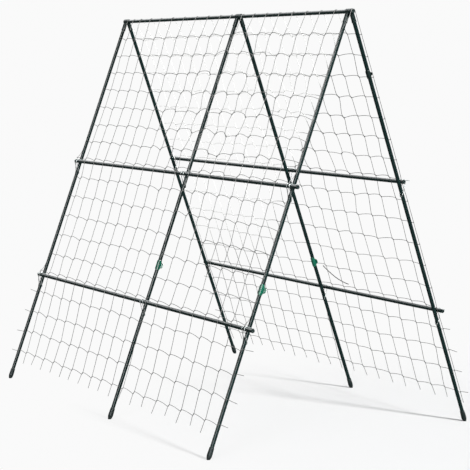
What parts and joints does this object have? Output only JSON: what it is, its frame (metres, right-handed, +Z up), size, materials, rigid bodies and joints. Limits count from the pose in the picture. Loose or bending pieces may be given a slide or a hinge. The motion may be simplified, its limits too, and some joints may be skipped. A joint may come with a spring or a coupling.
{
  "type": "folding garden trellis",
  "caption": "Free-standing triangular trellis: two leaning stake frames hinged on a ridge bar, with a climbing net draped over them.",
  "frame": {"origin": "on the floor, under the middle of the part's box", "axes": "+X along the ridge bar towards the picture's right-hand end, -Y the front frame's side, +Z up"},
  "size_m": [1.917, 1.2642, 1.6861],
  "materials": {
    "stake_coat": "satin dark green plastic coat over steel tube",
    "moulding": "satin dark green-black moulding",
    "clip_wire": "thinly coated spring wire",
    "green_clip": "glossy mid green",
    "net_cord": "thin twisted grey-green cord"
  },
  "bodies": {
    "back_frame": {"back_left_leg": "stake_coat", "back_left_eyelet_cap": "moulding", "back_left_foot": "moulding", "back_middle_leg": "stake_coat", "back_middle_eyelet_cap": "moulding", "back_middle_foot": "moulding", "back_right_leg": "stake_coat", "back_right_eyelet_cap": "moulding", "back_right_foot": "moulding", "back_upper_bar": "stake_coat", "back_upper_bar_left_plug": "moulding", "back_upper_bar_right_plug": "moulding", "back_upper_left_wire_clip": "clip_wire", "back_upper_middle_wire_clip": "clip_wire", "back_upper_right_wire_clip": "clip_wire", "back_lower_bar": "stake_coat", "back_lower_bar_left_plug": "moulding", "back_lower_bar_right_plug": "moulding", "back_lower_left_wire_clip": "clip_wire", "back_lower_middle_wire_clip": "clip_wire", "back_lower_right_wire_clip": "clip_wire", "back_net": "net_cord", "ridge_bar": "stake_coat", "ridge_bar_left_plug": "moulding", "ridge_bar_right_plug": "moulding", "back_middle_net_clip": "green_clip", "back_right_net_clip": "moulding"},
    "front_frame": {"front_left_leg": "stake_coat", "front_left_eyelet_cap": "moulding", "front_left_foot": "moulding", "front_middle_leg": "stake_coat", "front_middle_eyelet_cap": "moulding", "front_middle_foot": "moulding", "front_right_leg": "stake_coat", "front_right_eyelet_cap": "moulding", "front_right_foot": "moulding", "front_upper_bar": "stake_coat", "front_upper_bar_left_plug": "moulding", "front_upper_bar_right_plug": "moulding", "front_upper_left_wire_clip": "clip_wire", "front_upper_middle_wire_clip": "clip_wire", "front_upper_right_wire_clip": "clip_wire", "front_lower_bar": "stake_coat", "front_lower_bar_left_plug": "moulding", "front_lower_bar_right_plug": "moulding", "front_lower_left_wire_clip": "clip_wire", "front_lower_middle_wire_clip": "clip_wire", "front_lower_right_wire_clip": "clip_wire", "front_net": "net_cord", "front_middle_net_clip": "green_clip", "front_right_net_clip": "green_clip"}
  },
  "joints": [
    {"name": "ridge_fold", "type": "hinge", "parent": "back_frame", "child": "front_frame", "pos_m": [0, 0, 1.675], "axis": [1, 0, 0], "range_deg": [0, 38]}
  ]
}
